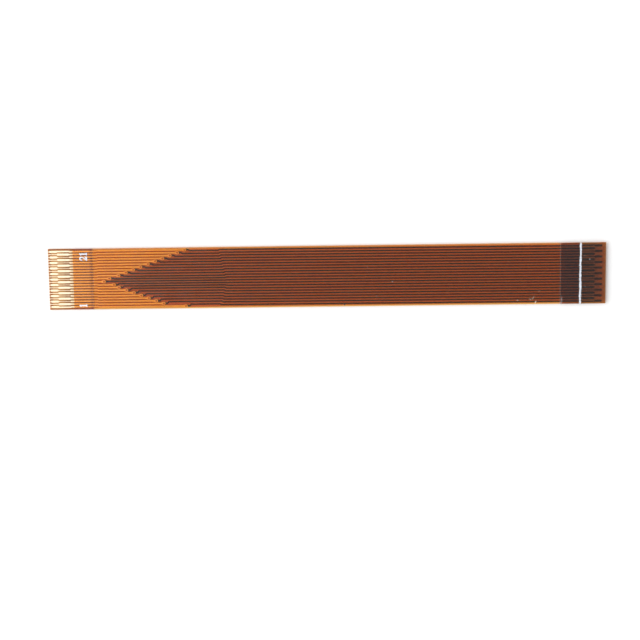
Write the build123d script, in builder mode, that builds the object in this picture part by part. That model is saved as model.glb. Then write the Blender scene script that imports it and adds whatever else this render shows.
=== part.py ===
from build123d import *

import os

# Flat flex cable: a laminated strip of polyimide film with printed copper on both of its faces.
# Its contacts are bare on the front at the left end and on the back at the right end, so each way
# starts in the front copper, drops through one plated hole and runs on in the back copper.
#
# Frame, in millimetres: +X along the cable towards the right tip, +Y across it towards the last way,
# +Z out of the front face. The origin is below the middle of the strip, level with its lowest face.

# Outline
WAYS = 21
PITCH = 0.3
CABLE_LENGTH = 60.0
EDGE_MARGIN = 0.3  # centre of an outermost way to the long edge

# Thicknesses of the layers
BASE_FILM = 0.025
COPPER = 0.02
COVER_FILM = 0.0275  # over the copper
GLUE_LINE = 0.002  # between any two layers, and round each plated barrel
CONTACT_END = 0.2  # bare contacts to the far side of the stiffener, as the socket takes it
INK = 0.012

# Stiffened ends
STIFFENER_LENGTH = 4.8
GUIDE_LINE_WIDTH = 0.3
GUIDE_LINE_FROM_TIP = 2.7  # to the line's centre

# Contacts: two staggered rows, measured inwards from where the tip row starts
FRONT_SETBACK = 0.17  # tip of the cable to the tip row
BACK_SETBACK = 0.37
CONTACT_WIDTH = 0.22
TIP_ROW_LENGTH = 0.84
INNER_ROW_START = 0.78
INNER_ROW_END = 2.1
TAPER = 0.08
NECK = 0.08  # copper that passes between two contacts
PLATING_TAIL = 0.08  # cut-off plating lead, from a front contact to the tip
WINDOW = 2.48  # bare length up to the cover film's edge
WINDOW_LIP = 0.3  # length over which the cover film closes round each way

# Traces
FRONT_TRACE = 0.17
BACK_TRACE = 0.15
TRACE_CLEARANCE = 0.03  # a hole's pad to the next way's trace
SLANT = 0.15  # length over which a trace steps sideways
FRONT_STEP = 5.2  # left tip to where the front traces step apart
FRONT_SPREAD = 0.05
BACK_OFFSET = 0.04  # the back copper lies this far towards the last way
BACK_DRIFT = -0.08  # and is printed askew: its contacts have strayed this far on from there
BACK_SQUEEZE = 0.09  # how far the back traces close up after their holes
SQUEEZED_WAYS = 2.5  # ways either side of the arrow's middle that share the squeeze
RELEASE = 3.65  # last hole to where the outermost traces open out again
RELEASE_STEP = 0.07  # each way nearer the middle opens this much later

# Plated holes, in an arrowhead that points to the left
ARROW_WAY = (WAYS - 1) // 2
ARROW_TIP = 5.96  # left tip to the first hole
HOLE_STEP = 0.8  # from one way's hole to the next
HOLE_SHIFT = {ARROW_WAY + 1: -0.2, ARROW_WAY - 1: 0.27}  # holes beside the first one
HOLE_DIAMETER = 0.1
BARREL_DIAMETER = 0.2
BARREL_SIDES = 10  # a barrel and its hole are drawn with flat sides
TEARDROP = 0.3  # hole to where its pad has narrowed to the trace
HOLE_LEAD = 0.4  # straight copper behind a hole

# Sizes that follow
ALL_WAYS = range(1, WAYS + 1)
CABLE_WIDTH = (WAYS - 1) * PITCH + 2 * EDGE_MARGIN
HALF_LENGTH = CABLE_LENGTH / 2
PAD_DIAMETER = 2 * (PITCH - FRONT_TRACE / 2 - TRACE_CLEARANCE)
COVER = COPPER + GLUE_LINE + COVER_FILM  # the cover film reaches down to the base film
STIFFENER = CONTACT_END - 2 * COPPER - BASE_FILM - COVER_FILM - 4 * GLUE_LINE
CONTACT_RUN = INNER_ROW_END + TAPER

# Heights of the layers' lower faces
BACK_STIFFENER_Z = INK + GLUE_LINE
BACK_COVER_Z = BACK_STIFFENER_Z + STIFFENER + GLUE_LINE
BACK_COPPER_Z = BACK_COVER_Z + COVER_FILM + GLUE_LINE
BASE_Z = BACK_COPPER_Z + COPPER + GLUE_LINE
FRONT_COPPER_Z = BASE_Z + BASE_FILM + GLUE_LINE
FRONT_STIFFENER_Z = FRONT_COPPER_Z + COVER + GLUE_LINE
FRONT_INK_Z = FRONT_STIFFENER_Z + STIFFENER + GLUE_LINE

# Edges of the cover films at the bare contacts
FRONT_WINDOW_X = FRONT_SETBACK + WINDOW - HALF_LENGTH
BACK_WINDOW_X = HALF_LENGTH - BACK_SETBACK - WINDOW


def sign(value):
    return (value > 0) - (value < 0)


def way_y(way):
    """Centre line of a way at its contacts, by its place in the pitch."""
    return (way - (WAYS + 1) / 2) * PITCH


def front_y(way):
    """Front trace once it has stepped away from the arrow's first way."""
    return way_y(way) + sign(way - ARROW_WAY) * FRONT_SPREAD


def squeezed_y(way):
    """Back trace between its hole and where it opens out again."""
    from_middle = way - ARROW_WAY + 0.5
    closing = BACK_SQUEEZE * min(1, abs(from_middle) / SQUEEZED_WAYS)
    return way_y(way) + BACK_OFFSET - sign(from_middle) * closing


def back_contact_y(way):
    """Centre line of a way at its back contact."""
    return way_y(way) + BACK_OFFSET + BACK_DRIFT


def hole_x(way):
    """The arrowhead's two flanks; the first way's hole is level with the last way's."""
    steps = WAYS - ARROW_WAY if way == 1 else abs(way - ARROW_WAY)
    return ARROW_TIP + steps * HOLE_STEP + HOLE_SHIFT.get(way, 0) - HALF_LENGTH


def hole(way):
    return (hole_x(way), front_y(way))


def release_x(way):
    """Where a back trace starts to open out to the contacts' pitch."""
    later = WAYS - ARROW_WAY - abs(way - ARROW_WAY + 0.5)
    return hole_x(WAYS) + RELEASE + (0 if way == 1 else later * RELEASE_STEP)


def contact_side(way, trace_width, straight):
    """Half widths of one side of a contact, against the distance from the tip row's start."""
    wide, neck, narrow = CONTACT_WIDTH / 2, NECK / 2, trace_width / 2
    if straight:
        side = [(0, wide), (INNER_ROW_END, wide)]
    elif way % 2:
        side = [(0, wide), (TIP_ROW_LENGTH - TAPER, wide), (TIP_ROW_LENGTH, neck), (INNER_ROW_END, neck)]
    else:
        side = [(INNER_ROW_START, neck), (INNER_ROW_START + TAPER, wide)]
        side += [(INNER_ROW_END - TAPER, wide), (INNER_ROW_END, narrow)]
    return side + [(CONTACT_RUN, narrow)]


def contact_outline(way, end, setback, y, trace_width):
    """Closed outline of a contact; the outer sides of the first and last way stay straight."""
    upper = contact_side(way, trace_width, straight=way == WAYS)
    lower = contact_side(way, trace_width, straight=way == 1)
    start = HALF_LENGTH - setback
    points = [(end * (start - along), y + half) for along, half in upper]
    return points + [(end * (start - along), y - half) for along, half in reversed(lower)]


def across_trace(x, y, width):
    """Ends of a line square across a trace."""
    return (x, y - width / 2), (x, y + width / 2)


def front_route(way):
    """Centre line of the front trace, from its contact to its hole."""
    step_x = FRONT_STEP - HALF_LENGTH
    return [
        (FRONT_SETBACK + CONTACT_RUN - HALF_LENGTH, way_y(way)),
        (step_x, way_y(way)),
        (step_x + SLANT, front_y(way)),
        hole(way),
    ]


def back_route(way):
    """Centre line of the back trace, from its hole to its contact."""
    x, y = hole(way)
    return [
        (x, y),
        (x + HOLE_LEAD, y),
        (x + HOLE_LEAD + SLANT, squeezed_y(way)),
        (release_x(way), squeezed_y(way)),
        (release_x(way) + SLANT, way_y(way) + BACK_OFFSET),
        (BACK_WINDOW_X - WINDOW_LIP, back_contact_y(way)),
        (HALF_LENGTH - BACK_SETBACK - CONTACT_RUN, back_contact_y(way)),
    ]


os.makedirs("parts", exist_ok=True)

# Base film: the carrier sheet, drilled for the plated barrels
with BuildPart() as base_film:
    with BuildSketch(Plane.XY.offset(BASE_Z)):
        Rectangle(CABLE_LENGTH, CABLE_WIDTH)
        with Locations(*[hole(way) for way in ALL_WAYS]):
            RegularPolygon(BARREL_DIAMETER / 2 + GLUE_LINE, BARREL_SIDES, mode=Mode.SUBTRACT)
    extrude(amount=BASE_FILM)
base_film.part.label = "base_film"
export_step(base_film.part, "parts/base_film.step")

# Conductors: each way is one piece of copper, grown together through its plated hole
for way in ALL_WAYS:
    tail_length = FRONT_SETBACK + TAPER + (0 if way % 2 else INNER_ROW_START)
    with BuildPart() as conductor:
        with BuildSketch(Plane.XY.offset(FRONT_COPPER_Z)):
            with Locations(hole(way)):
                Circle(PAD_DIAMETER / 2)
            with BuildLine():
                Line(*across_trace(hole_x(way) - TEARDROP, front_y(way), FRONT_TRACE))
            make_hull()
            with BuildLine():
                Polyline(*front_route(way))
            trace(line_width=FRONT_TRACE)
            with BuildLine():
                Polyline(*contact_outline(way, -1, FRONT_SETBACK, way_y(way), FRONT_TRACE), close=True)
            make_face()
            with Locations((-HALF_LENGTH, way_y(way))):
                Rectangle(tail_length, PLATING_TAIL, align=(Align.MIN, Align.CENTER))
        extrude(amount=COPPER)
        with BuildSketch(Plane.XY.offset(BACK_COPPER_Z)):
            with Locations(hole(way)):
                Circle(PAD_DIAMETER / 2)
            with BuildLine():
                Line(*across_trace(hole_x(way) + TEARDROP, front_y(way), BACK_TRACE))
            make_hull()
            with BuildLine():
                Polyline(*back_route(way))
            trace(line_width=BACK_TRACE)
            with BuildLine():
                Polyline(*contact_outline(way, 1, BACK_SETBACK, back_contact_y(way), BACK_TRACE), close=True)
            make_face()
        extrude(amount=COPPER)
        with BuildSketch(Plane.XY.offset(BACK_COPPER_Z + COPPER)):
            with Locations(hole(way)):
                RegularPolygon(BARREL_DIAMETER / 2, BARREL_SIDES)
        extrude(amount=FRONT_COPPER_Z - BACK_COPPER_Z - COPPER)
        with BuildSketch(Plane.XY.offset(BACK_COPPER_Z)):
            with Locations(hole(way)):
                RegularPolygon(HOLE_DIAMETER / 2, BARREL_SIDES)
        extrude(amount=FRONT_COPPER_Z + COPPER - BACK_COPPER_Z, mode=Mode.SUBTRACT)
    conductor.part.label = f"conductor_{way:02d}"
    export_step(conductor.part, f"parts/{conductor.part.label}.step")

# Front cover film: from the bare contacts to the right tip, pressed down round the front copper
with BuildPart() as front_cover:
    pocket_x = FRONT_WINDOW_X + WINDOW_LIP
    pocket_end = hole_x(WAYS) + PAD_DIAMETER / 2 + GLUE_LINE
    pocket_width = 2 * (front_y(WAYS) + PAD_DIAMETER / 2 + GLUE_LINE)
    with BuildSketch(Plane.XY.offset(FRONT_COPPER_Z)):
        with Locations((FRONT_WINDOW_X, 0)):
            Rectangle(HALF_LENGTH - FRONT_WINDOW_X, CABLE_WIDTH, align=(Align.MIN, Align.CENTER))
    extrude(amount=COVER)
    with BuildSketch(Plane.XY.offset(FRONT_COPPER_Z)):
        with Locations((pocket_x, 0)):
            Rectangle(pocket_end - pocket_x, pocket_width, align=(Align.MIN, Align.CENTER))
        with Locations(*[(FRONT_WINDOW_X, way_y(way)) for way in ALL_WAYS]):
            Rectangle(WINDOW_LIP, FRONT_TRACE + 2 * GLUE_LINE, align=(Align.MIN, Align.CENTER))
    extrude(amount=COPPER + GLUE_LINE, mode=Mode.SUBTRACT)
front_cover.part.label = "front_cover_film"
export_step(front_cover.part, "parts/front_cover_film.step")

# Back cover film: from the left tip to the bare contacts, pressed up round the back copper
with BuildPart() as back_cover:
    pocket_x = hole_x(ARROW_WAY) - PAD_DIAMETER / 2 - GLUE_LINE
    pocket_end = BACK_WINDOW_X - WINDOW_LIP
    pocket_width = 2 * (front_y(WAYS) + PAD_DIAMETER / 2 + GLUE_LINE)
    with BuildSketch(Plane.XY.offset(BACK_COVER_Z)):
        with Locations((-HALF_LENGTH, 0)):
            Rectangle(BACK_WINDOW_X + HALF_LENGTH, CABLE_WIDTH, align=(Align.MIN, Align.CENTER))
    extrude(amount=COVER)
    with BuildSketch(Plane.XY.offset(BACK_COPPER_Z - GLUE_LINE)):
        with Locations((pocket_x, 0)):
            Rectangle(pocket_end - pocket_x, pocket_width, align=(Align.MIN, Align.CENTER))
        with Locations(*[(BACK_WINDOW_X, back_contact_y(way)) for way in ALL_WAYS]):
            Rectangle(WINDOW_LIP, BACK_TRACE + 2 * GLUE_LINE, align=(Align.MAX, Align.CENTER))
    extrude(amount=COPPER + GLUE_LINE, mode=Mode.SUBTRACT)
back_cover.part.label = "back_cover_film"
export_step(back_cover.part, "parts/back_cover_film.step")

# Stiffeners: thick film glued behind the contacts, on the back at the left tip
with BuildPart() as back_stiffener:
    with BuildSketch(Plane.XY.offset(BACK_STIFFENER_Z)):
        with Locations((-HALF_LENGTH, 0)):
            Rectangle(STIFFENER_LENGTH, CABLE_WIDTH, align=(Align.MIN, Align.CENTER))
    extrude(amount=STIFFENER)
back_stiffener.part.label = "back_stiffener"
export_step(back_stiffener.part, "parts/back_stiffener.step")

# and on the front at the right tip
with BuildPart() as front_stiffener:
    with BuildSketch(Plane.XY.offset(FRONT_STIFFENER_Z)):
        with Locations((HALF_LENGTH, 0)):
            Rectangle(STIFFENER_LENGTH, CABLE_WIDTH, align=(Align.MAX, Align.CENTER))
    extrude(amount=STIFFENER)
front_stiffener.part.label = "front_stiffener"
export_step(front_stiffener.part, "parts/front_stiffener.step")

# Guide lines: bars of white ink across the stiffeners, which show how far the end goes in
with BuildPart() as back_guide_line:
    with BuildSketch():
        with Locations((GUIDE_LINE_FROM_TIP - HALF_LENGTH, 0)):
            Rectangle(GUIDE_LINE_WIDTH, CABLE_WIDTH)
    extrude(amount=INK)
back_guide_line.part.label = "back_guide_line"
export_step(back_guide_line.part, "parts/back_guide_line.step")

with BuildPart() as front_guide_line:
    with BuildSketch(Plane.XY.offset(FRONT_INK_Z)):
        with Locations((HALF_LENGTH - GUIDE_LINE_FROM_TIP, 0)):
            Rectangle(GUIDE_LINE_WIDTH, CABLE_WIDTH)
    extrude(amount=INK)
front_guide_line.part.label = "front_guide_line"
export_step(front_guide_line.part, "parts/front_guide_line.step")
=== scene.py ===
import bpy
import math
from mathutils import Euler, Matrix, Vector


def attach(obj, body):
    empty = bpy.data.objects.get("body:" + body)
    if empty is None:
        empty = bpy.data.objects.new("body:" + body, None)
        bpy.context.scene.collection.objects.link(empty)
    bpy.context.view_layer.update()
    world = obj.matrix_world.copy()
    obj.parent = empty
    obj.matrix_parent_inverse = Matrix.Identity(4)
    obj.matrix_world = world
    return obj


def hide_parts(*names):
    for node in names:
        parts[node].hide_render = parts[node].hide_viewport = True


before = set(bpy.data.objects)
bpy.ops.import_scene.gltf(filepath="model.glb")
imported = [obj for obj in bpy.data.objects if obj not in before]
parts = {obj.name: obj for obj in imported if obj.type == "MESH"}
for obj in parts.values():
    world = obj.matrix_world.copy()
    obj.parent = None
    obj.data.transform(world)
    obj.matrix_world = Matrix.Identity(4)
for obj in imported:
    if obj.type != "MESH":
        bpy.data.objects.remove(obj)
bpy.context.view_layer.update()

# The base film carries the whole strip: one clear amber polyimide film, drilled once for each way.
# It shows between the traces, through the cover films, and lies bare between the contacts, where its front
# face has a painted sheen.
MM = 0.001
BASE_FRONT = 0.192 * MM  # heights of the film's two faces
BASE_BACK = 0.167 * MM
FRONT_WINDOW = -27.35 * MM  # front cover film's edge at the bare contacts
BACK_WINDOW = 27.15 * MM  # back cover film's edge at the bare contacts
SKIN = 0.002 * MM  # depth over which a face's finish fades into the film
EDGE = 0.01 * MM  # length over which a finish changes
TIP_FADE = (-29.75 * MM, -29.6 * MM)  # painted sheen on the bare front face between the contacts: from here on behind the tip,
SIDE_FADE = (3.24 * MM, 3.1 * MM)  # this far from the strip's middle line,
SHEEN_RUN = (-29.0 * MM, -27.4 * MM)  # and less and less towards the cover film
SHEEN_SHARES = (0.58, 0.03)
LEAST_HAZE = 0.02
BASE_TINT = (0.97, 0.827, 0.56, 1)  # what one face of the film lets through
# the colour of the film's haze, and of the painted sheen between the contacts
BARE_HAZE_AND_SHEEN = (0.72, 0.37, 0.11, 1)
BARE_SHINE = 0.5
BARE_ROUGHNESS = 0.35
FILM_IOR = 1.53


def new_material(name):
    material = bpy.data.materials.new(name)
    material.use_nodes = True
    material.node_tree.nodes.clear()
    return material, material.node_tree


def dress(piece, material):
    piece.data.materials.clear()
    piece.data.materials.append(material)


def add(tree, kind, sockets=None, **settings):
    """A shader node. A socket gets a plain value, or another node's output."""
    node = tree.nodes.new("ShaderNode" + kind)
    for name, value in settings.items():
        setattr(node, name, value)
    for name, value in (sockets or {}).items():
        if isinstance(value, bpy.types.NodeSocket):
            tree.links.new(value, node.inputs[name])
        else:
            node.inputs[name].default_value = value
    return node


def calc(tree, operation, first, second=0.0, third=0.0):
    return add(tree, "Math", {0: first, 1: second, 2: third}, operation=operation).outputs[0]


def step(tree, value, start, end, low=0.0, high=1.0):
    """Goes smoothly from low to high while value goes from start to end."""
    sockets = {"Value": value, "From Min": start, "From Max": end, "To Min": low, "To Max": high}
    return add(tree, "MapRange", sockets, interpolation_type="SMOOTHSTEP").outputs["Result"]


def place(tree):
    """x, y and z on the part, in metres, and the vector that holds them."""
    vector = add(tree, "TexCoord").outputs["Object"]
    split = add(tree, "SeparateXYZ", {0: vector})
    return *split.outputs[:3], vector


def finish_film(tree, tint, shine, roughness, haze, haze_color, normal=None):
    """Clear coloured film: see-through, dulled by a haze, and glossy where shine is 1."""
    bent = {"Normal": normal} if normal else {}
    clear = add(tree, "BsdfTransparent", {"Color": tint})
    gloss = add(tree, "BsdfGlossy", {"Color": (1, 1, 1, 1), "Roughness": roughness, **bent})
    mirror = calc(tree, "MULTIPLY", add(tree, "Fresnel", {"IOR": FILM_IOR}).outputs[0], shine)
    glossy = add(tree, "MixShader", {0: mirror, 1: clear.outputs[0], 2: gloss.outputs[0]})
    dull = add(tree, "BsdfDiffuse", {"Color": haze_color, **bent})
    hazy = add(tree, "MixShader", {0: haze, 1: glossy.outputs[0], 2: dull.outputs[0]})
    add(tree, "OutputMaterial", {"Surface": hazy.outputs[0]})


base_material, tree = new_material("base_film_polyimide")
x, y, z, _ = place(tree)
on_front = step(tree, z, BASE_FRONT - SKIN, BASE_FRONT)
on_back = step(tree, z, BASE_BACK + SKIN, BASE_BACK)
bare_front = calc(tree, "MULTIPLY", step(tree, x, FRONT_WINDOW, FRONT_WINDOW - EDGE), on_front)
bare_back = calc(tree, "MULTIPLY", step(tree, x, BACK_WINDOW, BACK_WINDOW + EDGE), on_back)
off_sides = step(tree, calc(tree, "ABSOLUTE", y), *SIDE_FADE)
# Painted sheen: the bare front face between the contacts gets an amber haze, fading towards the cover film.
contact_sheen = calc(tree, "MULTIPLY", step(tree, x, *TIP_FADE), off_sides)
contact_sheen = calc(tree, "MULTIPLY", contact_sheen, step(tree, x, *SHEEN_RUN, *SHEEN_SHARES))
haze = calc(tree, "MULTIPLY_ADD", bare_front, contact_sheen, LEAST_HAZE)
shine = calc(tree, "MULTIPLY", calc(tree, "ADD", bare_front, bare_back), BARE_SHINE)
finish_film(tree, BASE_TINT, shine, BARE_ROUGHNESS, haze, BARE_HAZE_AND_SHEEN)
dress(parts["base_film"], base_material)

# Each of the twenty-one conductors is rolled copper, etched to shape on both faces of the base film and
# joined by plating through one hole. It is bright outside, treated dark where it is bonded to a film, and
# gold plated where it is bare.
COPPER_BRIGHT = (1.0, 0.74, 0.2, 1)
COPPER_DULL = (0.95, 0.66, 0.18, 1)
COPPER_TREATED = (0.03, 0.12, 0.115, 1)
COPPER_DIP_SHADE = (0.5, 0.06, 0.01, 1)  # painted shade in the mouth of a plated hole
GOLD = (0.87, 0.74, 0.54, 1)
GOLD_DULL = (0.68, 0.54, 0.38, 1)  # narrow necks, which no socket has wiped
GOLD_SHADED = (0.74, 0.57, 0.34, 1)  # painted shade, near the cover film's edge
TREATED_ROUGHNESS = 0.55
METAL_ROUGHNESS = (0.38, 0.5)
TREATED_METALLIC = 0.5
BASE_MIDDLE = (BASE_FRONT + BASE_BACK) / 2
COPPER_INNER = 0.0145 * MM  # base film's middle to the copper's inner face
COPPER_THICKNESS = 0.02 * MM
FACE_FADE = 0.005 * MM  # half the height over which front copper turns into back copper
PITCH = 0.3 * MM
ARROW_TIP = -24.04 * MM  # the plated hole at the tip of the arrowhead, one pitch off the strip's middle
HOLE_STEP = 0.8 * MM  # from one way's hole to the next one's, along the strip
HOLE_SHIFTS = {1: -0.2 * MM, -1: 0.27 * MM, -9: 2 * HOLE_STEP}  # by ways from the tip's: how far off
FRONT_SPREAD = 0.05 * MM  # front traces beyond the stiffener lie this much farther from the tip's
SPREAD_RUN = (-24.8 * MM, -24.65 * MM)
BACK_OFFSET = 0.04 * MM  # the back traces lie this much off the front ones
BACK_STRAYED = -0.04 * MM  # and where they reach their contacts, this much
BACK_SQUEEZE = 0.09 * MM  # and as far as the arrowhead reaches, this much nearer to the strip's middle
BACK_RELEASE = -11.5 * MM
RELEASE_RUN = 0.1 * MM
DIP_RADIUS = 0.125 * MM
DIP_DEPTH = -0.4  # as a share of the dome
DOME_HEIGHT = 0.007 * MM
DOME_HALF_WIDTH = 0.1 * MM
PAD_DOME = 0.3 * MM  # radius within which a plated hole's pad is as high as its trace
NECK_STARTS = (27.68 * MM, 27.76 * MM)
NECK_ENDS = (28.93 * MM, 28.85 * MM)
OUTERMOST_WAYS = (2.88 * MM, 2.82 * MM)  # these have no narrow neck
GOLD_SHADE_RUN = (27.8 * MM, 27.45 * MM)


def blend(tree, share, first, second):
    return add(tree, "Mix", {"Factor": share, "A": first, "B": second}, data_type="RGBA").outputs["Result"]


def grain(tree, vector, size, detail=2.0):
    """Noise from 0 to 1; size is the length of its blotches along x, y and z."""
    spread = add(tree, "Mapping", {"Vector": vector, "Scale": [1 / length for length in size]})
    noise = add(tree, "TexNoise", {"Vector": spread.outputs[0], "Scale": 1.0, "Detail": detail})
    return noise.outputs["Fac"]


def from_hole(tree, x, y):
    """How far a place lies from the plated hole of its own way, along the strip and across it."""
    spread = step(tree, x, *SPREAD_RUN, 0.0, FRONT_SPREAD)
    from_tip = calc(tree, "ADD", y, PITCH)
    side = calc(tree, "SIGN", from_tip)
    even_y = calc(tree, "SUBTRACT", from_tip, calc(tree, "MULTIPLY", side, spread))
    way = calc(tree, "ROUND", calc(tree, "DIVIDE", even_y, PITCH))
    trace_y = calc(tree, "MULTIPLY", way, PITCH)
    trace_y = calc(tree, "MULTIPLY_ADD", calc(tree, "SIGN", way), spread, trace_y)
    hole_x = calc(tree, "MULTIPLY_ADD", calc(tree, "ABSOLUTE", way), HOLE_STEP, ARROW_TIP)
    for shifted_way, shift in HOLE_SHIFTS.items():
        hole_x = calc(tree, "MULTIPLY_ADD", calc(tree, "COMPARE", way, shifted_way, 0.5), shift, hole_x)
    return calc(tree, "SUBTRACT", x, hole_x), calc(tree, "SUBTRACT", from_tip, trace_y)


def from_back_trace(tree, x, y):
    """How far a place lies from the middle of the nearest back trace."""
    squeeze = step(tree, x, BACK_RELEASE - RELEASE_RUN, BACK_RELEASE, BACK_SQUEEZE, 0.0)
    side = calc(tree, "SIGN", calc(tree, "ADD", y, 1.5 * PITCH))
    run = {"Value": x, "From Min": BACK_RELEASE, "From Max": BACK_WINDOW}
    offset = add(tree, "MapRange", {**run, "To Min": BACK_OFFSET, "To Max": BACK_STRAYED}).outputs["Result"]
    back_y = calc(tree, "MULTIPLY_ADD", side, squeeze, calc(tree, "SUBTRACT", y, offset))
    return calc(tree, "PINGPONG", back_y, PITCH / 2)


def ring(tree, along, across, radius, blur):
    """1 within a radius, 0 outside it."""
    square = calc(tree, "MULTIPLY_ADD", along, along, calc(tree, "MULTIPLY", across, across))
    return step(tree, calc(tree, "SQRT", square), radius, radius * (1 - blur))


copper_material, tree = new_material("printed_copper")
x, y, z, at = place(tree)
height = calc(tree, "SUBTRACT", z, BASE_MIDDLE)
from_film = calc(tree, "SUBTRACT", calc(tree, "ABSOLUTE", height), COPPER_INNER)
outer = step(tree, from_film, 0.05 * COPPER_THICKNESS, 0.2 * COPPER_THICKNESS)
front = step(tree, height, -FACE_FADE, FACE_FADE)
back = calc(tree, "SUBTRACT", 1.0, front)
bare_front = calc(tree, "MULTIPLY", step(tree, x, FRONT_WINDOW, FRONT_WINDOW - EDGE), front)
bare_back = calc(tree, "MULTIPLY", step(tree, x, BACK_WINDOW, BACK_WINDOW + EDGE), back)
bare = calc(tree, "ADD", bare_front, bare_back)
rolled = grain(tree, at, (2.5 * MM, 0.12 * MM, 1.0))
bright = blend(tree, step(tree, rolled, 0.35, 0.65), COPPER_DULL, COPPER_BRIGHT)
along, across = from_hole(tree, x, y)
# Painted shade in the mouth of each plated hole.
shaded_dip = blend(tree, ring(tree, along, across, DIP_RADIUS, 0.45), bright, COPPER_DIP_SHADE)
end = calc(tree, "ABSOLUTE", x)
# Painted shade: the gold darkens towards the cover film's edge.
gold = blend(tree, step(tree, end, *GOLD_SHADE_RUN), GOLD, GOLD_SHADED)
neck = calc(tree, "MULTIPLY", step(tree, end, *NECK_STARTS), step(tree, end, *NECK_ENDS))
neck = calc(tree, "MULTIPLY", neck, step(tree, calc(tree, "ABSOLUTE", y), *OUTERMOST_WAYS))
inner_row = calc(tree, "PINGPONG", calc(tree, "ROUND", calc(tree, "DIVIDE", y, PITCH)), 1.0)
tip_row = calc(tree, "SUBTRACT", 1.0, inner_row)
gold = blend(tree, calc(tree, "MULTIPLY", neck, tip_row), gold, GOLD_DULL)
color = blend(tree, outer, COPPER_TREATED, blend(tree, bare, shaded_dip, gold))
wiped = grain(tree, at, (1.5 * MM, 0.03 * MM, 1.0))
metal_roughness = step(tree, wiped, 0.3, 0.7, *METAL_ROUGHNESS)
roughness = step(tree, outer, 0.0, 1.0, TREATED_ROUGHNESS, metal_roughness)
metallic = step(tree, outer, 0.0, 1.0, TREATED_METALLIC, 1.0)
off_front = calc(tree, "MULTIPLY", calc(tree, "ABSOLUTE", across), front)
off_middle = calc(tree, "MULTIPLY_ADD", from_back_trace(tree, x, y), back, off_front)
domed = step(tree, off_middle, DOME_HALF_WIDTH, 0.0)
domed = calc(tree, "MAXIMUM", domed, ring(tree, along, across, PAD_DOME, 0.2))
domed = calc(tree, "MULTIPLY_ADD", ring(tree, along, across, DIP_RADIUS, 0.6), DIP_DEPTH, domed)
rounded = add(tree, "Bump", {"Height": domed, "Strength": 1.0, "Distance": DOME_HEIGHT}).outputs[0]
sockets = {"Base Color": color, "Metallic": metallic, "Roughness": roughness, "Normal": rounded}
copper = add(tree, "BsdfPrincipled", sockets)
add(tree, "OutputMaterial", {"Surface": copper.outputs[0]})
for name, piece in parts.items():
    if name.startswith("conductor_"):
        dress(piece, copper_material)

# The two cover films seal the copper in. Each is amber polyimide with glue on its inner side, pressed down
# hot, so it rises a little over every trace. It is glossy, with a few specks and scratches from handling.
FRONT_COVER_TOP = 0.2435 * MM
BACK_COVER_BOTTOM = 0.1155 * MM
FACE_DEPTH = (0.008 * MM, 0.002 * MM)  # how deep below a face its finish starts, and is full
STIFFENER_EDGE = 25.2 * MM  # middle of the strip to either stiffener's inner edge
RIDGE = 0.008 * MM  # how far the film rises over a trace
RIDGE_SIDE = (0.11 * MM, 0.05 * MM)  # from a front trace's middle to the foot of the rise, and to its top
BACK_RIDGE_SIDE = (0.1 * MM, 0.045 * MM)
FRONT_TRACE_END = (0.15 * MM, 0.0)  # beyond the plated hole
BACK_TRACE_START = (0.1 * MM, 0.3 * MM)
PAD_RADIUS = 0.23 * MM  # plated hole's middle to where the film is flat again
FAR_RIDGE = 0.25  # how much the copper of the other face still shows in the rise
RIPPLE = 0.6
FILM_TINT = (0.988, 0.827, 0.56, 1)
GAP_SHADE_TINT = (0.988, 0.69, 0.46, 1)  # painted shade in the film between two front traces
EDGE_BAND_TINT = (0.92, 0.74, 0.47, 1)  # the film is darker in a band along the left stiffener's edge
FILM_ROUGHNESS = (0.2, 0.3)
FILM_HAZE = (0.8, 0.45, 0.12, 1)
STREAKS = (0.004, 0.03)  # least and most haze of the film itself
EDGE_GLOW = (0.85, 0.53, 0.14, 1)
GLOW_BAND = (3.12 * MM, 3.2 * MM)  # painted glow of light through the film's cut edges, from here to the strip's sides,
GLOW_SIDES = (0.55, 0.3)  # and more on the first way's side than on the last way's
SPECK_HAZE = (0.95, 0.86, 0.7, 1)
NICK_HAZE = (0.05, 0.022, 0.015, 1)
LIGHT_MARKS = (  # x, y, half length, half width, turn in degrees, strength
    (7.10, -0.66, 0.09, 0.07, 40, 0.55),
    (4.43, 0.92, 0.09, 0.06, 60, 0.3),
    (5.38, -2.20, 0.08, 0.06, 0, 0.3),
    (22.51, -3.08, 0.2, 0.06, 60, 0.7),
    (21.94, -2.78, 0.17, 0.05, -45, 0.25),
    (22.25, -2.62, 0.33, 0.05, 57, 0.25),
    (22.90, -1.90, 0.12, 0.06, 0, 0.2),
    (20.57, -2.87, 0.15, 0.07, -20, 0.25),
    (-4.10, -0.10, 0.08, 0.05, 0, 0.2),
    (-13.60, -2.40, 0.10, 0.05, 30, 0.2),
)
DARK_NICK = (1.91, -3.12, 0.13, 0.09, 50)
FULL_WIDTH = 1.0  # far longer than the strip is wide
PALE_LINE_X = STIFFENER_EDGE - 0.05 * MM  # a faint greyish line along the right stiffener's inner edge
PALE_LINE_HALF = 0.11 * MM
PALE_LINE_SHARE = 0.1
PALE_LINE_HAZE = (0.6, 0.5, 0.5, 1)
EDGE_BAND_X = -STIFFENER_EDGE - 0.17 * MM
EDGE_BAND_HALF = 0.3 * MM
BOND_SHARE = 0.3  # the glue between the back film and its stiffener
BOND_HAZE = (0.95, 0.62, 0.48, 1)
END_SHEEN_SHARE = 0.016  # painted sheen on the front film over the left stiffener
END_SHEEN = (0.9, 0.82, 0.75, 1)
SHADED_GAP_RUN = (-STIFFENER_EDGE, -STIFFENER_EDGE + 0.1 * MM)  # the gaps get their painted shade where no stiffener backs them


def face(tree, z, level, inwards):
    """1 on an outer face at a level, 0 within the layer. Inwards is 1 for a layer above it, -1 below."""
    start, full = (level + inwards * depth for depth in FACE_DEPTH)
    return step(tree, z, start, full)


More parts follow.
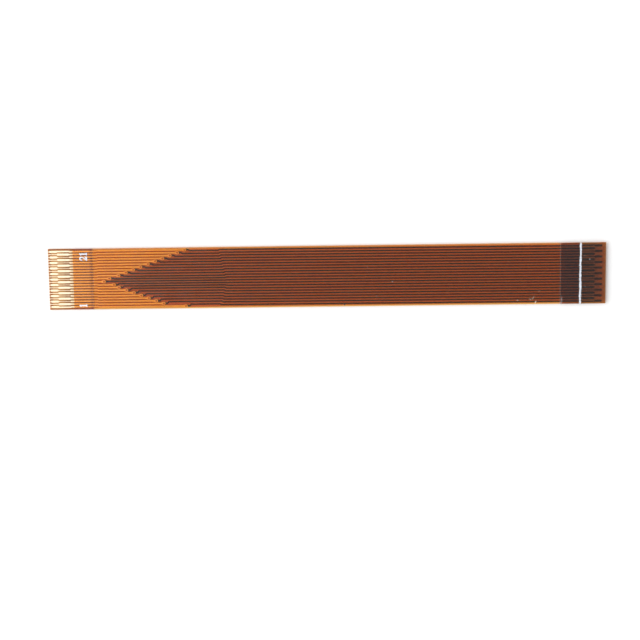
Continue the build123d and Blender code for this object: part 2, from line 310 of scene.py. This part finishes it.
def trace_ridges(tree, x, y):
    """Where a face rises over front copper, where over back copper, and the gaps between front traces."""
    along, across = from_hole(tree, x, y)
    has_trace = step(tree, along, *FRONT_TRACE_END)
    over_trace = step(tree, calc(tree, "ABSOLUTE", across), *RIDGE_SIDE)
    over_front = calc(tree, "MULTIPLY", over_trace, has_trace)
    over_front = calc(tree, "MAXIMUM", over_front, ring(tree, along, across, PAD_RADIUS, 0.4))
    gap = calc(tree, "MULTIPLY", calc(tree, "SUBTRACT", 1.0, over_front), has_trace)
    dip = ring(tree, along, across, DIP_RADIUS, 0.6)
    over_front = calc(tree, "MULTIPLY_ADD", dip, DIP_DEPTH, over_front)
    over_trace = step(tree, from_back_trace(tree, x, y), *BACK_RIDGE_SIDE)
    over_back = calc(tree, "MULTIPLY", over_trace, step(tree, along, *BACK_TRACE_START))
    return over_front, over_back, gap


def mark(tree, vector, middle, length, width, turn=0.0, blur=0.5):
    """1 inside an oval patch on the part, 0 outside. Length and width are half of the oval's."""
    scale = (length, width, length)
    sockets = {"Vector": vector, "Location": middle, "Rotation": (0, 0, turn), "Scale": scale}
    oval = add(tree, "Mapping", sockets, vector_type="TEXTURE").outputs[0]
    away = add(tree, "VectorMath", {0: oval}, operation="LENGTH").outputs["Value"]
    return step(tree, away, 1.0, 1.0 - blur)


def front_mark(tree, vector, mark_x, mark_y, length, width, turn):
    """A mark of handling on the front cover film, in millimetres and degrees."""
    middle = (mark_x * MM, mark_y * MM, FRONT_COVER_TOP)
    return mark(tree, vector, middle, length * MM, width * MM, math.radians(turn))


cover_material, tree = new_material("cover_film_polyimide")
x, y, z, at = place(tree)
on_front = face(tree, z, FRONT_COVER_TOP, -1)
on_back = face(tree, z, BACK_COVER_BOTTOM, 1)
open_front = calc(tree, "MULTIPLY", on_front, step(tree, x, STIFFENER_EDGE + EDGE, STIFFENER_EDGE))
open_back = calc(tree, "MULTIPLY", on_back, step(tree, x, -STIFFENER_EDGE - EDGE, -STIFFENER_EDGE))
outer = calc(tree, "ADD", open_front, open_back)
over_front, over_back, gap = trace_ridges(tree, x, y)
near_ridge = calc(tree, "MULTIPLY_ADD", on_front, over_front, calc(tree, "MULTIPLY", on_back, over_back))
far_ridge = calc(tree, "MULTIPLY_ADD", on_front, over_back, calc(tree, "MULTIPLY", on_back, over_front))
rise = calc(tree, "MULTIPLY_ADD", grain(tree, at, (3 * MM, 1.2 * MM, 1.0)), RIPPLE, near_ridge)
rise = calc(tree, "MULTIPLY_ADD", far_ridge, FAR_RIDGE, rise)
bumped = add(tree, "Bump", {"Height": rise, "Strength": 1.0, "Distance": RIDGE}).outputs[0]
roughness = step(tree, grain(tree, at, (1.6 * MM, 0.7 * MM, 1.0)), 0.3, 0.7, *FILM_ROUGHNESS)
haze = step(tree, grain(tree, at, (0.9 * MM, 0.05 * MM, 1.0)), 0.62, 0.8, *STREAKS)
for *spot, strength in LIGHT_MARKS:
    haze = calc(tree, "MULTIPLY_ADD", front_mark(tree, at, *spot), strength, haze)
nick = front_mark(tree, at, *DARK_NICK)
haze = calc(tree, "MAXIMUM", haze, nick)
haze_color = blend(tree, step(tree, haze, 0.05, 0.15), FILM_HAZE, SPECK_HAZE)
between_ends = step(tree, calc(tree, "ABSOLUTE", x), STIFFENER_EDGE + EDGE, STIFFENER_EDGE)
# Painted glow along the cut edges, stronger on the first way's side.
glow_band = calc(tree, "MULTIPLY", step(tree, calc(tree, "ABSOLUTE", y), *GLOW_BAND), between_ends)
glow_side = step(tree, y, -3.0 * MM, 3.0 * MM, *GLOW_SIDES)
haze = calc(tree, "MULTIPLY_ADD", calc(tree, "MULTIPLY", glow_band, outer), glow_side, haze)
haze_color = blend(tree, glow_band, haze_color, EDGE_GLOW)
haze_color = blend(tree, nick, haze_color, NICK_HAZE)
# A faint greyish line along the right stiffener's inner edge.
pale_line = mark(tree, at, (PALE_LINE_X, 0.0, FRONT_COVER_TOP), PALE_LINE_HALF, FULL_WIDTH, blur=0.9)
haze = calc(tree, "MULTIPLY_ADD", pale_line, PALE_LINE_SHARE, haze)
haze_color = blend(tree, pale_line, haze_color, PALE_LINE_HAZE)
left_end = step(tree, x, -STIFFENER_EDGE, -STIFFENER_EDGE - EDGE)
bonded = calc(tree, "MULTIPLY", on_back, left_end)
haze = calc(tree, "MULTIPLY_ADD", bonded, BOND_SHARE, haze)
haze_color = blend(tree, bonded, haze_color, BOND_HAZE)
# Painted sheen on the front film over the left stiffener.
end_sheen = calc(tree, "MULTIPLY", on_front, left_end)
haze = calc(tree, "MULTIPLY_ADD", end_sheen, END_SHEEN_SHARE, haze)
haze_color = blend(tree, end_sheen, haze_color, END_SHEEN)
# Painted shade between the front traces, on the front face, where no stiffener backs them.
shaded_gap = calc(tree, "MULTIPLY", gap, step(tree, x, *SHADED_GAP_RUN))
tint = blend(tree, calc(tree, "MULTIPLY", shaded_gap, on_front), FILM_TINT, GAP_SHADE_TINT)
# Darker in a band along the left stiffener's edge.
edge_band = mark(tree, at, (EDGE_BAND_X, 0.0, FRONT_COVER_TOP), EDGE_BAND_HALF, FULL_WIDTH, blur=0.9)
tint = blend(tree, edge_band, tint, EDGE_BAND_TINT)
finish_film(tree, tint, outer, roughness, haze, haze_color, bumped)
for name in ("front_cover_film", "back_cover_film"):
    dress(parts[name], cover_material)

# The stiffeners are two thick pieces of grey-brown polyimide, glued behind the bare contacts of either end,
# so that the end fills its socket. They are satin, with a few specks and one scuffed corner.
FRONT_STIFFENER_TOP = 0.345 * MM
BACK_STIFFENER_BOTTOM = 0.014 * MM
STIFFENER_TINT = (0.705, 0.655, 0.572, 1)
TIP_TINT = (0.765, 0.67, 0.578, 1)  # light comes in through the right tip's cut end
TIP_RUN = (28.3 * MM, 29.6 * MM)
STIFFENER_HAZE = (0.3, 0.2, 0.16, 1)
STIFFENER_ROUGHNESS = 0.35
SATIN_GRAIN = 0.12 * MM
SATIN_HEIGHT = 0.003 * MM
SATIN_SHARE = 0.01
SCUFF_MIDDLE = (25.28 * MM, -2.95 * MM, FRONT_STIFFENER_TOP)
SCUFF_HALF = (0.14 * MM, 0.75 * MM)
SCUFF_SHARE = (0.1, 0.35)
SCUFF_HAZE = (0.75, 0.68, 0.66, 1)
STIFFENER_SPECKS = (  # x, y, radius, strength
    (27.71, 1.91, 0.06, 0.25),
    (28.26, 1.51, 0.08, 0.5),
    (27.80, -1.48, 0.06, 0.3),
)

stiffener_material, tree = new_material("stiffener_polyimide")
x, y, z, at = place(tree)
outer = calc(tree, "ADD", face(tree, z, FRONT_STIFFENER_TOP, -1), face(tree, z, BACK_STIFFENER_BOTTOM, 1))
satin = grain(tree, at, (SATIN_GRAIN, SATIN_GRAIN, 1.0))
bumped = add(tree, "Bump", {"Height": satin, "Strength": 1.0, "Distance": SATIN_HEIGHT}).outputs[0]
scuff = mark(tree, at, SCUFF_MIDDLE, *SCUFF_HALF, blur=0.9)
scuff_grain = step(tree, grain(tree, at, (0.15 * MM, 0.3 * MM, 1.0)), 0.3, 0.7, *SCUFF_SHARE)
haze = calc(tree, "MULTIPLY_ADD", scuff, scuff_grain, calc(tree, "MULTIPLY", outer, SATIN_SHARE))
for mark_x, mark_y, radius, strength in STIFFENER_SPECKS:
    spot = mark(tree, at, (mark_x * MM, mark_y * MM, FRONT_STIFFENER_TOP), radius * MM, radius * MM)
    haze = calc(tree, "MULTIPLY_ADD", spot, strength, haze)
haze_color = blend(tree, step(tree, haze, 0.02, 0.08), STIFFENER_HAZE, SCUFF_HAZE)
tint = blend(tree, step(tree, x, *TIP_RUN), STIFFENER_TINT, TIP_TINT)
finish_film(tree, tint, outer, STIFFENER_ROUGHNESS, haze, haze_color, bumped)
for name in ("front_stiffener", "back_stiffener"):
    dress(parts[name], stiffener_material)

# The guide lines are bars of white ink, screen-printed across the stiffeners to show how deep an end goes.
# The ink bled a little, so their sides are ragged, and they lie a little askew.
INK = 0.012 * MM  # its thickness
INK_THIN = (0.66, 0.7, 0.76, 1)
INK_FULL = (0.8, 0.84, 0.9, 1)
INK_ROUGHNESS = 0.55
INK_RELIEF = 0.004 * MM
GUIDE_LINE = 27.28 * MM  # middle of the strip to a guide line's middle
GUIDE_WIDTH = 0.185 * MM
GUIDE_LENGTH = 6.58 * MM
GUIDE_CUTS = 320  # along its length
FRONT_INK_TOP = 0.359 * MM
BLEED = 0.24 * MM
BLEED_GRAIN = 0.09 * MM
GUIDE_LINES = (  # side, middle, top, turn in degrees
    ("front", GUIDE_LINE, FRONT_INK_TOP, 0.2),
    ("back", -GUIDE_LINE, INK, -0.15),
)

ink_material, tree = new_material("white_ink")
*_, at = place(tree)
thin = step(tree, grain(tree, at, (0.12 * MM, 0.2 * MM, 1.0)), 0.35, 0.6)
color = blend(tree, thin, INK_THIN, INK_FULL)
bumped = add(tree, "Bump", {"Height": thin, "Strength": 1.0, "Distance": INK_RELIEF}).outputs[0]
ink = add(tree, "BsdfPrincipled", {"Base Color": color, "Roughness": INK_ROUGHNESS, "Normal": bumped})
add(tree, "OutputMaterial", {"Surface": ink.outputs[0]})


def use_modifier(piece, kind, **settings):
    modifier = piece.modifiers.new(kind.lower(), kind)
    for name, value in settings.items():
        setattr(modifier, name, value)
    bpy.ops.object.modifier_apply(modifier=modifier.name)


def settle(piece, name):
    """A finished piece: named, and put on the strip."""
    piece.name = name
    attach(piece, "root")


ragged = bpy.data.textures.new("ragged_print", "CLOUDS")
ragged.noise_scale = BLEED_GRAIN
for side, middle, top, askew in GUIDE_LINES:
    bpy.ops.object.select_all(action="DESELECT")
    bpy.ops.mesh.primitive_grid_add(x_subdivisions=1, y_subdivisions=GUIDE_CUTS, size=1.0)
    line = bpy.context.object
    bpy.ops.object.mode_set(mode="EDIT")
    bpy.ops.mesh.select_all(action="SELECT")
    bpy.ops.transform.resize(value=(GUIDE_WIDTH, GUIDE_LENGTH, 1.0), center_override=(0, 0, 0))
    bpy.ops.transform.rotate(value=math.radians(askew), orient_axis="Z", center_override=(0, 0, 0))
    bpy.ops.transform.translate(value=(middle, 0, top))
    bpy.ops.object.mode_set(mode="OBJECT")
    use_modifier(line, "DISPLACE", texture=ragged, texture_coords="LOCAL", direction="X", strength=BLEED)
    use_modifier(line, "SOLIDIFY", thickness=INK, offset=-1.0)
    dress(line, ink_material)
    settle(line, f"{side}_printed_line")
    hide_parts(f"{side}_guide_line")

# The numbers of the first and last way are printed beside the contacts of either end, in the same ink.
# They are narrow figures, turned a quarter, each drawn as one flat outline that gets the ink's thickness.
CORNER, CURVE = "VECTOR", "AUTO"
SPREAD = 0.014 * MM  # how far the ink spread beyond the outline
FIGURE_HEIGHT = 0.83 * MM
FIGURE_STEPS = 6  # straight pieces to each bend
FIGURES = {  # outlines for a height of 1: x, y, and whether the line bends there or turns a corner
    "1": (
        (0.03, 0.00, CORNER), (0.03, 0.07, CORNER), (0.09, 0.10, CURVE), (0.105, 0.18, CURVE),
        (0.105, 0.78, CORNER), (0.03, 0.77, CORNER), (0.03, 0.86, CORNER), (0.13, 0.91, CURVE),
        (0.20, 1.00, CORNER), (0.265, 1.00, CORNER), (0.265, 0.18, CURVE), (0.28, 0.10, CURVE),
        (0.34, 0.07, CORNER), (0.34, 0.00, CORNER),
    ),
    "2": (
        (0.00, 0.00, CORNER), (0.00, 0.11, CORNER), (0.20, 0.36, CURVE), (0.325, 0.57, CURVE),
        (0.345, 0.74, CURVE), (0.25, 0.87, CURVE), (0.145, 0.82, CURVE), (0.12, 0.66, CORNER),
        (0.01, 0.66, CORNER), (0.045, 0.86, CURVE), (0.24, 1.00, CURVE), (0.44, 0.90, CURVE),
        (0.48, 0.71, CURVE), (0.40, 0.50, CURVE), (0.19, 0.20, CORNER), (0.39, 0.20, CORNER),
        (0.44, 0.30, CORNER), (0.505, 0.30, CORNER), (0.47, 0.00, CORNER),
    ),
}
LAST_WAY = (("2", 0.0), ("1", 0.545 * MM))  # figures, and how far along the line each starts
FIRST_WAY = (("1", 0.0),)
INK_GAP = 0.002 * MM  # between a film and the ink on it
ON_FRONT = FRONT_COVER_TOP + INK_GAP + INK / 2
ON_BACK = BACK_COVER_BOTTOM - INK_GAP - INK / 2
READ_UPWARDS = Matrix(((0, -1, 0, 0), (1, 0, 0, 0), (0, 0, 1, 0), (0, 0, 0, 1)))
READ_BEHIND = Matrix(((0, 1, 0, 0), (1, 0, 0, 0), (0, 0, -1, 0), (0, 0, 0, 1)))
NUMBERS = (  # name, figures, where the first figure's foot is, turn
    ("front_last_way_number", LAST_WAY, (-25.79 * MM, 2.03 * MM, ON_FRONT), READ_UPWARDS),
    ("front_first_way_number", FIRST_WAY, (-25.95 * MM, -3.02 * MM, ON_FRONT), READ_UPWARDS),
    ("back_last_way_number", LAST_WAY, (25.80 * MM, -3.02 * MM, ON_BACK), READ_BEHIND),
    ("back_first_way_number", FIRST_WAY, (26.0 * MM, 2.80 * MM, ON_BACK), READ_BEHIND),
)


def print_figure(figure, shift):
    """One figure as a thin closed mesh, flat on the XY plane."""
    bpy.ops.object.select_all(action="DESELECT")
    bpy.ops.curve.primitive_bezier_curve_add()
    drawn = bpy.context.object
    drawn.data.dimensions = "2D"
    drawn.data.fill_mode = "BOTH"
    drawn.data.resolution_u = FIGURE_STEPS
    spline = drawn.data.splines[0]
    outline = FIGURES[figure]
    spline.bezier_points.add(len(outline) - 2)
    spline.use_cyclic_u = True
    for point, (point_x, point_y, bend) in zip(spline.bezier_points, outline):
        point.co = (shift + point_x * FIGURE_HEIGHT, point_y * FIGURE_HEIGHT, 0)
        point.handle_left_type = point.handle_right_type = bend
    drawn.data.extrude = INK / 2
    drawn.data.offset = SPREAD
    bpy.ops.object.convert(target="MESH")
    drawn = bpy.context.object
    bpy.ops.object.mode_set(mode="EDIT")
    bpy.ops.mesh.select_all(action="SELECT")
    bpy.ops.mesh.remove_doubles(threshold=0.0001 * MM)
    bpy.ops.mesh.normals_make_consistent(inside=False)
    bpy.ops.object.mode_set(mode="OBJECT")
    return drawn


for name, figures, origin, turn in NUMBERS:
    drawn = [print_figure(figure, shift) for figure, shift in figures]
    bpy.ops.object.select_all(action="DESELECT")
    for figure in drawn:
        figure.select_set(True)
    bpy.context.view_layer.objects.active = drawn[0]
    if len(drawn) > 1:
        bpy.ops.object.join()
    number = drawn[0]
    number.matrix_world = Matrix.Translation(origin) @ turn
    bpy.ops.object.transform_apply(location=True, rotation=True, scale=True)
    dress(number, ink_material)
    settle(number, name)

# The floor is a plain white table top that the strip lies on.
# It is matt, so all it shows is the strip's soft shadow.
TABLE_WHITE = (0.95, 0.95, 0.95, 1)
bpy.ops.object.select_all(action="DESELECT")
bpy.ops.mesh.primitive_plane_add(size=2.0, location=(0, 0, 0))
floor = bpy.context.object
floor.name = "floor"
floor_material, tree = new_material("white_table")
paint = add(tree, "BsdfDiffuse", {"Color": TABLE_WHITE})
add(tree, "OutputMaterial", {"Surface": paint.outputs[0]})
dress(floor, floor_material)

# Studio light: a white room, brighter at its walls than overhead, and a large round soft box to the left.
# The soft box is aimed at the strip, and gives the copper and the gold their sheen.
WALLS = 0.9
CEILING = 0.5
OVERHEAD = 0.9  # height on the room's unit sphere from which all is ceiling
LEFT_SOFT_BOX = (-0.44, 0.0, 0.37)
SOFT_BOX_WIDTH = 0.8
SOFT_BOX_POWER = 4.4
world = bpy.data.worlds.new("studio")
world.use_nodes = True
tree = world.node_tree
room = tree.nodes["Background"]
room.inputs["Color"].default_value = (1, 1, 1, 1)
upwards = add(tree, "SeparateXYZ", {0: add(tree, "TexCoord").outputs["Generated"]}).outputs["Z"]
tree.links.new(step(tree, upwards, 0.0, OVERHEAD, WALLS, CEILING), room.inputs["Strength"])
bpy.context.scene.world = world
bpy.ops.object.select_all(action="DESELECT")
bpy.ops.object.light_add(type="AREA", location=LEFT_SOFT_BOX)
soft_box = bpy.context.object
soft_box.name = "left_soft_box"
soft_box.data.shape = "DISK"
soft_box.data.size = SOFT_BOX_WIDTH
soft_box.data.energy = SOFT_BOX_POWER
soft_box.rotation_euler = Vector(LEFT_SOFT_BOX).to_track_quat("Z", "Y").to_euler()

# The camera looks almost straight down, from a little beyond the strip.
# Its turn and aim put the strip's outline where the photograph shows it.
CAMERA_DISTANCE = 0.16
CAMERA_TURN = Euler((math.radians(-8.47), math.radians(0.80), math.radians(-0.81)))
CAMERA_AIM = Vector((-0.762 * MM, -4.765 * MM, 0.2 * MM))
FOCAL_RATIO = 1477.7 / 640  # focal length over the picture's width, both in pixels
SENSOR_WIDTH = 36.0
bpy.ops.object.camera_add(location=CAMERA_AIM + CAMERA_TURN.to_matrix() @ Vector((0, 0, CAMERA_DISTANCE)))
camera = bpy.context.object
camera.rotation_euler = CAMERA_TURN
camera.data.sensor_width = SENSOR_WIDTH
camera.data.lens = SENSOR_WIDTH * FOCAL_RATIO
camera.data.clip_start = 0.01
camera.data.clip_end = 10.0
scene = bpy.context.scene
scene.camera = camera
scene.view_settings.view_transform = "Standard"
scene.cycles.transparent_max_bounces = 64
